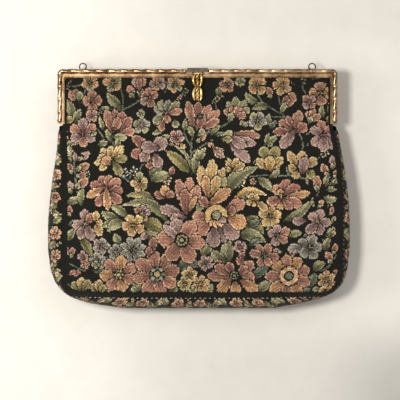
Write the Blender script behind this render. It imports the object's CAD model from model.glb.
import math

import bpy
import numpy as np
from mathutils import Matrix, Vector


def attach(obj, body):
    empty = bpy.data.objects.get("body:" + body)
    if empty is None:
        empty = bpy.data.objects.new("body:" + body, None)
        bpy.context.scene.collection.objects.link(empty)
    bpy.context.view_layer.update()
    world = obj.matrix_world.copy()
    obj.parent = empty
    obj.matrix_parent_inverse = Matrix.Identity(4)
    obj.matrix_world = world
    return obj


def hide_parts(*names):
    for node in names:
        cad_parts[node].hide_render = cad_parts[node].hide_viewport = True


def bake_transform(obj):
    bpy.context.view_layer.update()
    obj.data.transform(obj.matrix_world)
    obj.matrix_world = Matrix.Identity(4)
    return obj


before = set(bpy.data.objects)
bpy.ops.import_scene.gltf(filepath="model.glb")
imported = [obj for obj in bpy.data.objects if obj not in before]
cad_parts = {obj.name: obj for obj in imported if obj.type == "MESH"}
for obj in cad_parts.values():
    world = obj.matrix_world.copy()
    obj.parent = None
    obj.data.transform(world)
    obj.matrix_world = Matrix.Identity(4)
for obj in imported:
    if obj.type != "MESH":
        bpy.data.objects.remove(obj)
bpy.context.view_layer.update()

MM = 0.001

# ---------------------------------------------------------------- sizes, in millimetres

# Front face of the sack: height, depth at the middle
DEPTH_LINE = [
    (0, 12.0), (6, 14.2), (12, 15.3), (20, 16.0), (30, 16.3), (46, 16.1), (66, 15.3), (86, 13.8),
    (106, 11.6), (126, 9.0), (141, 6.9), (150, 5.4), (158, 4.7), (170, 4.6), (190, 4.2),
]
# Outer silhouette, left and right, against height
EDGE_LEFT = [
    (0, -54), (2.4, -80), (6.4, -95), (10, -103.5), (14.4, -108.8), (20, -113.4), (30, -117.4), (46, -119.4),
    (66, -119.6), (86, -118.2), (110, -115), (126, -112.4), (140, -111.4), (147, -110.4),
]
EDGE_RIGHT = [
    (0, 58), (2.4, 76), (6.4, 93), (10, 104), (14.4, 111.4), (20, 116), (30, 119.6), (46, 121.6),
    (66, 121.8), (86, 121), (110, 118), (126, 115), (140, 112.6), (147, 110.4),
]
# Side edges of the panel against height
SEAM_LEFT = [(0, -106.8), (110, -106.8), (126, -107.2), (147, -107.6), (190, -107.6)]
SEAM_RIGHT = [
    (0, 114.6), (70, 115.4), (90, 115.2), (111, 114.0), (126, 111.8), (138, 109.4), (147, 107.6),
    (190, 107.6),
]
# The flat panel's widest reach, its foot, its top and its two rounded lower corners
PANEL_LEFT = -107.0
PANEL_RIGHT = 115.2
PANEL_BOTTOM = 9.8
PANEL_TOP = 187.0
CORNER_LEFT = 10.0
CORNER_RIGHT = 19.0
# One stitch, and the plain band along the panel's edges
STITCH = 0.66
BAND = 3.3
# Top of the side strip, and of the part of it that meets the front panel
STRIP_TOP = 146.6
STRIP_FRONT_TOP = 141.7
# Height that the strip bulges out from
BELLY = 78.0

# Frame: half width, top, height of the rail, width and depth of a leg, foot of the legs
FRAME_HALF = 111.6
FRAME_TOP = 190.8
RAIL = 6.8
LEG = 5.6
FACE = 5.6
FOOT = 147.4
# Mouldings on the frame's face
ROPE_RADIUS = 2.0
ROPE_LEAD = 20.0
BEAD_PITCH = 1.05
BEAD_RADIUS = 0.55
# Where the rope stops for the clasp plate and for the two lugs
CLASP_HALF = 8.5
LUG_X = 92.0
LUG_GAP = 7.0

# ---------------------------------------------------------------- thread colours: dark, middle, light

# Dark ground, and how far it shows round a petal's sides and ends in millimetres
INK = (26, 25, 21)
OUTLINE = 0.70
OUTLINE_ENDS = 0.55
TONES = {
    "salmon": ((110, 68, 54), (168, 121, 102), (210, 172, 149)),
    "rose": ((92, 56, 49), (145, 100, 87), (190, 147, 130)),
    "peach": ((139, 91, 55), (194, 147, 106), (224, 191, 154)),
    "gold": ((133, 102, 59), (192, 160, 112), (222, 201, 158)),
    "mauve": ((102, 79, 77), (160, 133, 122), (199, 174, 160)),
    "lilac": ((90, 85, 79), (147, 140, 126), (190, 183, 167)),
    "sage": ((84, 84, 60), (148, 143, 109), (194, 186, 149)),
    "moss": ((86, 81, 49), (145, 133, 93), (190, 176, 132)),
    "grey": ((62, 67, 55), (110, 115, 97), (156, 157, 134)),
}


def linear(colour):
    """Scene-linear value of an sRGB colour from 0 to 255."""
    c = np.asarray(colour, float) / 255.0
    return np.where(c <= 0.04045, c / 12.92, ((c + 0.055) / 1.055) ** 2.4)


def smooth_step(t):
    t = np.clip(t, 0, 1)
    return t * t * (3 - 2 * t)


def smoothed(values, width):
    """Running mean with a soft window of odd width; the ends keep their values."""
    kernel = np.hanning(width)
    half = width // 2
    padded = np.concatenate([np.full(half, values[0]), values, np.full(half, values[-1])])
    return np.convolve(padded, kernel / kernel.sum(), "valid")


def run_length(*axes):
    """Length along a line of points, from 0 at its first one."""
    return np.concatenate([[0], np.cumsum(np.linalg.norm(np.diff(axes), axis=0))])


def heading(degrees):
    """Cosine and sine of an angle in degrees."""
    return math.cos(math.radians(degrees)), math.sin(math.radians(degrees))


def bearing(x0, z0, x1, z1):
    """Distance and angle in degrees from one point to another."""
    return math.hypot(x1 - x0, z1 - z0), math.degrees(math.atan2(z1 - z0, x1 - x0))


class Weave:
    """A woven picture: one colour and one pile height for every stitch, on axes in millimetres."""

    def __init__(self, across, up, seed, ragged):
        self.across = across
        self.up = up
        rng = np.random.default_rng(seed)
        shape = (len(up), len(across))
        self.x = across[None, :] + rng.normal(0, ragged, shape)
        self.z = up[:, None] + rng.normal(0, ragged, shape)
        self.colour = np.tile(np.array(INK, float), shape + (1,))
        self.pile = np.zeros(shape)
        self.rng = rng

    def window(self, x, z, reach):
        """Rows and columns of the stitches near a point."""
        step_x = self.across[1] - self.across[0]
        step_z = self.up[1] - self.up[0]
        i0 = max(int((z - reach - self.up[0]) / step_z), 0)
        i1 = max(int((z + reach - self.up[0]) / step_z) + 2, 0)
        j0 = max(int((x - reach - self.across[0]) / step_x), 0)
        j1 = max(int((x + reach - self.across[0]) / step_x) + 2, 0)
        return slice(i0, i1), slice(j0, j1)

    def paint(self, rows, cols, mask, colour, pile):
        self.colour[rows, cols][mask] = colour
        self.pile[rows, cols][mask] = pile

    def blade(self, x, z, length, width, angle, tone, bend=0.0, peak=0.6, power=0.7, veins=False, rim=1.25):
        """One petal or leaf from its foot, with a dark outline, a shaded throat and a light edge."""
        rows, cols = self.window(x, z, length * 1.15 + width + 1)
        c, s = heading(angle)
        dx = self.x[rows, cols] - x
        dz = self.z[rows, cols] - z
        # u runs from foot to tip as 0 to 1, v is the distance to the side in millimetres
        u = (dx * c + dz * s) / length
        v = (dz * c - dx * s) - bend * length * 4 * u * (1 - u)
        skew = math.log(0.5) / math.log(peak)

        def half_width(share):
            return np.sin(math.pi * np.clip(share, 0.001, 0.999) ** skew) ** power * width / 2

        grown = OUTLINE_ENDS / length
        edge = np.abs(v) < half_width((u + grown) / (1 + 2 * grown)) + OUTLINE
        edge &= (u > -grown) & (u < 1 + grown)
        self.paint(rows, cols, edge, INK, 0.02)
        half = half_width(u)
        if not veins:
            # ruffled sides and a notched tip
            half = half * (1 + 0.06 * np.sin(u * length * 1.3 + 3 * x))
            half = half * np.where(u > 0.84, 1 - 0.08 * (1 + np.cos(v * 1.9 + z)), 1)
        body = (u > 0) & (u < 1) & (np.abs(v) < half)
        dark, middle, light = (np.array(shade, float) for shade in TONES[tone])
        if tone in ("salmon", "rose", "peach"):
            dark = dark * 0.60 + np.array(TONES["mauve"][1], float) * 0.30
            light = light * 0.4 + np.array(TONES["peach"][2], float) * 0.6
        throat = smooth_step(u * 1.55 - 0.05)[..., None]
        shade = dark * (1 - throat) + middle * throat
        shade = shade * (1 + 0.075 * math.sin(3.1 * x + 1.7 * z + angle))
        if veins:
            # slanted veins, a dark spine and one half in the light
            rib = 0.5 + 0.5 * np.sin((u * length - np.abs(v) * 1.3) * 2 * math.pi / 2.6)
            shade = shade * (1.04 - 0.24 * rib[..., None])
            spine = 0.5 * np.exp(-((v / 0.5) ** 2))[..., None]
            shade = shade * (1 - spine) + dark * spine
            shade = shade * (0.88 + 0.30 * (v > 0))[..., None]
        else:
            # a dark core, flecks and flutes from foot to tip
            core = np.exp(-((v / (width * 0.17)) ** 2)) * smooth_step((0.78 - u) * 3)
            core = 0.65 * core[..., None]
            shade = shade * (1 - core) + dark * core
            fleck = np.sin(dx * 2.3 + x) * np.sin(dz * 2.1 + z)
            shade = shade * (1 - 0.12 * fleck[..., None])
            flute = 0.5 + 0.5 * np.cos(v * 2 * math.pi / 2.3 + 1.2 * np.sin(u * 5 + x) + z)
            shade = shade * (1.06 - 0.24 * flute[..., None])
        # light thread along the sides and the tip, broken here and there
        margin = np.minimum(half - np.abs(v), (1 - u) * length * 0.7)
        lit = smooth_step(1.15 - margin / rim) * smooth_step(u * 3 - 0.3)
        lit = (lit * (0.80 + 0.18 * np.sin(u * length * 2.3 + x)))[..., None]
        shade = shade * (1 - lit) + light * lit
        pile = 0.16 + 0.16 * (1 - np.abs(v) / np.maximum(half, 0.05))
        self.paint(rows, cols, body, shade[body], pile[body])

    def spot(self, x, z, radius, colour, pile):
        rows, cols = self.window(x, z, radius + 1)
        near = np.hypot(self.x[rows, cols] - x, self.z[rows, cols] - z) < radius
        self.paint(rows, cols, near, colour, pile)

    def disc(self, x, z, radius, tone, shade=1):
        """Round spot of thread: shade 0 is dark, 1 middle and 2 light."""
        self.spot(x, z, radius, TONES[tone][shade], 0.22)

    def blot(self, x, z, radius):
        """Round spot of bare dark ground."""
        self.spot(x, z, radius, INK, 0.04)

    def ring(self, x, z, reach, radius, count, tone, shades=(1, 1)):
        """Discs evenly round a centre, in two shades by turns."""
        for k in range(count):
            a = 2 * math.pi * k / count
            self.disc(x + reach * math.cos(a), z + reach * math.sin(a), radius, tone, shades[k % 2])

    def heart(self, x, z, radius, tone):
        """Flower centre: a ring of beads on a dark ground round a lighter eye."""
        self.blot(x, z, radius)
        self.ring(x, z, radius * 0.62, radius * 0.09 + 0.32, max(4, int(radius * 1.9)), tone)
        self.disc(x, z, radius * 0.26, tone)

    def blossom(self, x, z, radius, petals, tone, heart, turn, second=None, plump=1.0, eye=0.22):
        """Round flower; alternate petals can take a second tone."""
        width = plump * 2 * math.pi * radius * 0.62 / petals
        for k in range(petals):
            angle = turn + 360.0 * k / petals
            c, s = heading(angle)
            own = second if second and k % 2 else tone
            length = radius * 0.9 * (1 + 0.08 * math.sin(7 * k + x))
            foot = radius * 0.12
            self.blade(x + c * foot, z + s * foot, length, width, angle, own, peak=0.66, power=0.55)
        self.heart(x, z, max(radius * eye, 1.0), heart)

    def rosette(self, x, z, radius, petals, tone, second, turn, well, ring, beads, eye):
        """Large flower: broad petals round a dark well with a ring of beads and an eye."""
        self.blossom(x, z, radius, petals, tone, "moss", turn, second, 1.12, 0.1)
        self.blot(x, z, well)
        self.ring(x, z, well * 0.70, well * 0.22, beads, ring, (1, 2))
        self.blot(x, z, well * 0.46)
        self.disc(x, z, well * 0.34, eye)

    def bud(self, x, z, size, angle, tone):
        """Closed flower about its middle, with one sepal at its foot."""
        c, s = heading(angle)
        foot_x = x - c * size / 2
        foot_z = z - s * size / 2
        self.blade(foot_x, foot_z, size, size * 0.58, angle, tone, peak=0.55, power=0.6)
        self.blade(foot_x - c, foot_z - s, size * 0.5, size * 0.34, angle + 16, "sage", peak=0.5)

    def leaf(self, x, z, length, width, angle, tone, bend):
        self.blade(x, z, length, width, angle, tone, bend, peak=0.45, power=0.8, veins=True, rim=1.0)

    def petal(self, x0, z0, x1, z1, width, tone):
        """Petal between two points."""
        length, angle = bearing(x0, z0, x1, z1)
        self.blade(x0, z0, length, width, angle, tone, peak=0.64, power=0.55)

    def frond(self, x0, z0, x1, z1, width, tone, bend):
        """Leaf between two points."""
        length, angle = bearing(x0, z0, x1, z1)
        self.leaf(x0, z0, length, width, angle, tone, bend)

    def stem(self, x0, z0, x1, z1, x2, z2, tone="grey", radius=0.5):
        """Thin curved stem through a middle control point."""
        steps = int(math.hypot(x2 - x0, z2 - z0) / 0.5) + 4
        for t in np.linspace(0, 1, steps):
            px = (1 - t) ** 2 * x0 + 2 * t * (1 - t) * x1 + t * t * x2
            pz = (1 - t) ** 2 * z0 + 2 * t * (1 - t) * z1 + t * t * z2
            self.disc(px, pz, radius, tone)

    def sprig(self, x, z, size, angle, tone, berries=None):
        """Fine stalk with paired leaflets, or berries."""
        c, s = heading(angle)
        self.stem(x, z, x + c * size / 2 - s, z + s * size / 2 + c, x + c * size, z + s * size, tone, 0.42)
        for k in range(1, 4):
            px = x + c * size * k / 3.2
            pz = z + s * size * k / 3.2
            for side in (50, -50):
                if berries:
                    out, up = heading(angle + side)
                    self.disc(px + 2.2 * out, pz + 2.2 * up, 0.8, berries, 2)
                else:
                    self.blade(px, pz, size * 0.28, size * 0.12 + 0.5, angle + side, tone, peak=0.5)

    def finish(self):
        """Stitch-level mottling; returns linear colour."""
        shape = self.pile.shape
        own = 1 + self.rng.normal(0, 0.135, shape)
        rows = 1 + self.rng.normal(0, 0.030, (shape[0], 1))
        warm = self.rng.normal(0, 3.5, shape + (3,))
        c = self.colour * (own * rows)[..., None] + warm
        return linear(np.clip(c, 8, 250))


# ---------------------------------------------------------------- the panel's picture
# Every list is in millimetres on the front panel: x from the middle, z from the foot of the bag.

# foot x, foot z, bend x, bend z, tip x, tip z
STEMS = [
    (-4, 110, -6, 124, -4, 140), (-4, 124, 4, 130, 12, 134), (-4, 128, -12, 138, -10, 146),
    (-5, 112, -12, 130, -24, 131), (2, 138, 16, 142, 28, 150), (8, 140, 18, 152, 14, 164),
    (-42, 170, -50, 162, -60, 158), (-61, 174, -58, 166, -60, 158), (-60, 158, -76, 160, -78, 158),
    (-102, 178, -96, 176, -92, 179), (48, 171, 52, 162, 68, 155), (65, 170, 66, 160, 70, 152),
    (50, 151, 60, 154, 70, 152), (42, 105, 68, 108, 93, 102), (82, 139, 86, 130, 84, 126),
    (88, 130, 92, 136, 96, 138), (-99, 120, -98, 108, -96, 98), (-98, 104, -96, 96, -92, 92),
    (-61, 106, -54, 100, -50, 99), (-46, 106, -46, 112, -42, 116), (96, 90, 98, 96, 95, 106),
    (104, 96, 108, 102, 110, 106), (-102, 36, -96, 32, -90, 30), (-104, 20, -100, 16, -96, 17),
    (98, 30, 106, 32, 111, 44), (-70, 136, -64, 128, -66, 122), (84, 180, 84, 170, 94, 166),
    (24, 120, 28, 112, 22, 106), (-88, 178, -92, 170, -92, 164), (-80, 143, -74, 136, -74, 131),
    (104, 150, 100, 144, 98, 140),
]

# x, z, size, angle, tone and, where it has them, the tone of its berries
SPRIGS = [
    (-101, 182, 7, 250, "grey"), (-104, 176, 6, 200, "grey"), (12, 164, 9, 40, "sage"),
    (84, 176, 9, 80, "grey"), (78, 179, 6, 170, "grey"), (92, 183, 6, 20, "grey"),
    (-54, 103, 9, 62, "grey", "lilac"), (-56, 102, 8, 108, "grey", "lilac"), (-102, 143, 7, 200, "grey"),
    (97, 120, 8, 30, "sage"), (104, 80, 8, 60, "grey", "peach"), (-26, 97, 7, 66, "sage", "peach"),
    (-12, 168, 7, 60, "grey"), (-26, 172, 8, 80, "grey"), (52, 113, 7, 150, "sage"),
    (-86, 104, 7, 110, "sage"), (-104, 40, 7, 100, "grey", "rose"), (-90, 96, 6, 200, "sage"),
    (92, 140, 5, 200, "sage"), (33, 96, 6, 60, "grey", "gold"), (-76, 160, 6, 250, "sage"),
    (-50, 32, 7, 100, "grey"), (100, 52, 6, 60, "grey"), (-70, 60, 6, 90, "grey"),
]

# foot x, foot z, tip x, tip z, width, tone, bend
LEAVES = [
    (-61, 160, -72.5, 172, 7.5, "sage", 0.05), (-75, 142, -78, 153, 3.6, "sage", 0),
    (-100, 152, -104, 167, 7, "sage", -0.06), (-97, 148, -93.5, 159, 5.8, "sage", 0.08),
    (-106, 149, -98, 151, 6, "moss", 0.1), (-106, 127, -96, 131, 4.6, "sage", 0.25),
    (-101, 116, -103, 130, 5.2, "sage", -0.1), (-97, 117, -98, 125, 4, "mauve", 0),
    (-64, 129, -63, 135, 5, "sage", 0), (-79, 130, -71, 132, 5, "sage", 0.1),
    (-10.5, 141, -9, 151, 4.2, "sage", 0), (-6, 108, -25.5, 126, 8.6, "moss", -0.04),
    (-4, 106, -22, 132, 2.6, "sage", -0.16), (-2, 107, 1, 127, 6.6, "sage", 0.03),
    (-38, 105, -27, 114, 7.5, "sage", 0.08), (-37, 102, -21, 107, 8.5, "sage", 0.06),
    (-21, 106, -19, 113, 4.5, "rose", 0), (-77, 159, -70, 160, 3.4, "sage", 0),
    (-84, 158, -78, 162, 3.2, "grey", 0), (49, 164, 38, 172, 6, "sage", 0.12),
    (58, 161, 44, 159, 6.4, "sage", -0.1), (17, 170, 17, 177, 5.2, "sage", 0),
    (37, 144, 35, 150, 3.6, "sage", 0), (36, 145, 42, 149, 3.6, "sage", 0),
    (59, 145, 57, 155, 4.4, "sage", 0.1), (58, 143, 63, 150, 4.0, "grey", 0),
    (101, 152, 100, 162, 4.4, "sage", 0.1), (104, 156, 107, 167, 4.6, "sage", -0.1),
    (104, 148, 109, 153, 4.2, "sage", 0.2), (55, 129, 57, 140, 4.6, "sage", 0),
    (57, 132, 64, 138, 4.6, "sage", 0), (56, 133, 60, 129, 4.0, "sage", 0),
    (1, 118, 6.5, 128, 6, "sage", 0.05), (22, 91, 48.5, 112.5, 10.5, "sage", 0.13),
    (48, 104, 60, 93, 6.8, "sage", 0.08), (58, 104, 65, 112, 5, "sage", -0.1),
    (76, 104, 71, 113, 4.6, "grey", 0), (11, 138, 19, 146, 4.6, "sage", 0.1),
    (14, 138, 22, 140, 3.4, "grey", 0), (103, 97, 105, 107, 4.6, "sage", 0.1),
    (108, 98, 112, 104, 3.8, "sage", 0), (101, 88, 112, 87.5, 6, "sage", -0.1),
    (103, 94, 111, 94.5, 3.8, "sage", 0.1), (69, 70, 92.5, 88, 7, "sage", -0.1),
    (27, 80, 46, 89, 7.6, "grey", 0.1), (28, 84, 56, 89.5, 6.4, "gold", 0.24),
    (36, 71, 53, 60, 12.5, "moss", 0.1), (33, 60, 55, 53, 10, "sage", 0.08),
    (72, 57, 84, 60, 6, "sage", 0.12), (24, 36, 25, 57, 10, "sage", 0.05),
    (23, 37, 11, 47, 8.6, "sage", 0.1), (3, 42, 10, 57, 8, "sage", -0.08),
    (44, 24, 57, 34, 7.4, "grey", 0.05), (48, 13, 59, 22, 7.4, "sage", 0.05),
    (92, 31, 102, 36, 7, "sage", 0.1), (87, 17, 95, 28, 8, "grey", 0), (102, 46, 106, 57, 6, "sage", 0.06),
    (106, 56, 110, 65, 6, "sage", 0.12), (41, 66, 50, 70, 6.2, "grey", 0), (92, 60, 84, 56, 4.6, "grey", 0),
    (-63, 72, -77, 77, 7, "sage", 0.08), (-66, 70, -76, 65, 6, "sage", 0),
    (-58, 69, -72, 61, 8.4, "sage", -0.14), (-33, 81, -57, 89.5, 7.6, "moss", -0.2),
    (-23, 69, -60, 82, 8.6, "sage", -0.2), (-56, 73, -70, 83, 6.6, "sage", -0.05),
    (-44, 69, -26, 60, 11, "moss", 0.1), (-43, 61, -28, 58, 7.4, "sage", -0.1),
    (-93, 57, -84.5, 41, 7, "moss", 0.05), (-103, 54, -98, 64, 6, "sage", 0.05),
    (-103, 66, -96, 70, 4.2, "grey", 0), (-104, 84, -93, 86, 6.2, "sage", 0.1),
    (-93, 82, -91, 97, 5.6, "sage", 0.08), (-57, 19, -46, 28, 8, "sage", 0.05),
    (-54, 13, -43, 18, 7, "sage", 0.08), (-84, 31, -73, 28, 6, "grey", 0.12),
    (-73, 42, -72, 34, 5, "grey", 0), (-48, 12, -52, 18, 5, "sage", 0), (-22, 13, -15, 20, 6, "sage", 0),
    (-16, 32, -4, 36, 7, "grey", 0.1), (-6, 38, 2, 33, 6, "grey", 0), (8, 12, 12, 20, 5.4, "sage", 0),
    (60, 60, 56, 68, 5, "sage", 0), (-30, 136, -20, 136, 3, "sage", 0.1),
    (-61, 52, -66, 60, 6, "sage", 0.1), (98, 13, 92, 17, 5, "sage", 0), (84, 12, 90, 16, 5, "grey", 0),
    (-74, 12, -70, 18, 4.6, "sage", 0), (42, 50, 50, 56, 5, "grey", 0), (-28, 142, -36, 139, 4, "sage", 0),
    (5, 84, 0, 78, 6, "moss", 0), (-18, 66, -26, 68, 5, "mauve", 0),
]

# x, z, size, angle, tone
BUDS = [
    (-53, 173.5, 10, 112, "salmon"), (57.8, 172.5, 8.6, 108, "salmon"), (3.5, 136, 9, 50, "salmon"),
    (11.5, 129.5, 7, 130, "peach"), (-90, 121.5, 10, 40, "mauve"), (-91, 112.4, 11, 26, "salmon"),
    (-92.6, 106, 8, 20, "rose"), (-92, 99.5, 12, 42, "salmon"), (-101.5, 112, 8, 112, "rose"),
    (-101.5, 97, 9, 100, "mauve"), (108.5, 117, 10, 94, "mauve"), (102, 110.6, 10, 122, "salmon"),
    (110.3, 107.5, 6, 80, "rose"), (96, 100, 11.5, 94, "salmon"), (-102, 78, 8, 96, "rose"),
    (-100, 45, 8, 86, "rose"), (105, 41, 9.6, 112, "salmon"), (110, 47.5, 8, 84, "rose"),
    (110, 29, 5, 70, "rose"), (-97.5, 28.3, 9, 8, "rose"), (99, 83.5, 7, 60, "peach"),
    (107.5, 78, 6, 80, "rose"), (92, 84, 5, 130, "sage"), (109, 71, 5, 70, "sage"),
    (88, 102, 5.4, 100, "sage"), (74, 43, 8, 20, "rose"), (-30, 145, 6, 250, "rose"),
    (-14, 168, 5, 60, "rose"), (-105, 136, 5, 90, "salmon"), (63, 46, 7, 170, "mauve"),
    (109, 60, 5, 80, "gold"),
]

# x, z, radius, petals, tone, heart, turn and, where there is one, the second tone
BLOSSOMS = [
    (-85.7, 180, 7.4, 5, "peach", "moss", 54, "sage"), (-67.4, 180, 7.8, 5, "sage", "moss", 100, "peach"),
    (-31.7, 179.6, 6.2, 5, "mauve", "moss", 40, "peach"),
    (-17.6, 178.6, 7.2, 6, "peach", "moss", 20, "sage"),
    (-83.9, 165.7, 8.2, 4, "salmon", "rose", 4, "salmon"),
    (-84.5, 153.5, 5.4, 4, "mauve", "rose", 45, "salmon"),
    (-44.5, 146, 6.6, 5, "lilac", "mauve", 90, "sage"), (-45, 155.3, 3.6, 4, "sage", "moss", 10),
    (-91.4, 139.6, 11.6, 6, "mauve", "rose", 92, "salmon"),
    (-16.4, 136, 6.2, 5, "mauve", "rose", 60, "rose"), (23.8, 178.5, 6.2, 5, "rose", "moss", 20, "peach"),
    (34.3, 180.8, 4.0, 4, "sage", "moss", 30), (48, 178, 8.2, 4, "peach", "moss", 42, "gold"),
    (68, 178, 7.8, 5, "peach", "moss", 36, "gold"), (98.6, 171.6, 9.4, 4, "peach", "moss", 2, "salmon"),
    (89.5, 164.5, 6.2, 4, "mauve", "rose", 45, "salmon"), (48, 149.8, 7.8, 5, "lilac", "mauve", 60, "sage"),
    (-46, 99.5, 7.0, 5, "gold", "moss", 250, "moss"), (44.6, 101, 2.6, 5, "rose", "moss", 0),
    (44.5, 86.6, 5.4, 4, "gold", "moss", 30), (58.6, 73.4, 9.4, 5, "gold", "grey", 88),
    (90, 48.5, 10.2, 5, "lilac", "moss", 76), (6.5, 36.4, 6.0, 5, "mauve", "grey", 40),
    (2.6, 19.4, 7.4, 6, "gold", "moss", 20, "peach"), (103, 22.8, 7.6, 6, "gold", "mauve", 30, "peach"),
    (-44, 76, 6.4, 5, "mauve", "moss", 80, "rose"), (-51.5, 66.5, 9.0, 5, "gold", "moss", 116, "peach"),
    (-77, 50, 6.8, 5, "lilac", "rose", 70, "mauve"), (-79.5, 37.5, 7.0, 5, "lilac", "grey", 100, "lilac"),
    (-65, 45, 6.8, 5, "lilac", "moss", 90), (-51, 46.5, 10.6, 8, "lilac", "moss", 20),
    (-91.6, 41.6, 4.4, 4, "mauve", "rose", 0), (-89.4, 35.6, 4.0, 5, "rose", "gold", 0),
    (-6, 27, 6.2, 5, "gold", "moss", 90), (-10, 19.6, 6.0, 5, "gold", "moss", 30, "moss"),
    (-3.5, 14.5, 3.0, 4, "sage", "moss", 0), (-81, 35, 3.2, 4, "sage", "moss", 0),
    (34, 49, 5.4, 4, "mauve", "rose", 20), (-24, 52, 4.4, 4, "rose", "moss", 30),
    (16, 36, 3.6, 4, "rose", "moss", 30),
]

# x, z, radius, petals, tone, second tone, turn, well radius, bead tone, beads, eye tone
ROSETTES = [
    (-62.5, 27, 14.4, 7, "salmon", "peach", 30, 4.2, "sage", 6, "gold"),
    (-32, 27.5, 18.6, 8, "salmon", "salmon", 12, 6.6, "grey", 8, "gold"),
    (73, 26, 18.0, 9, "salmon", "peach", 20, 8.4, "peach", 12, "grey"),
]

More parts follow.
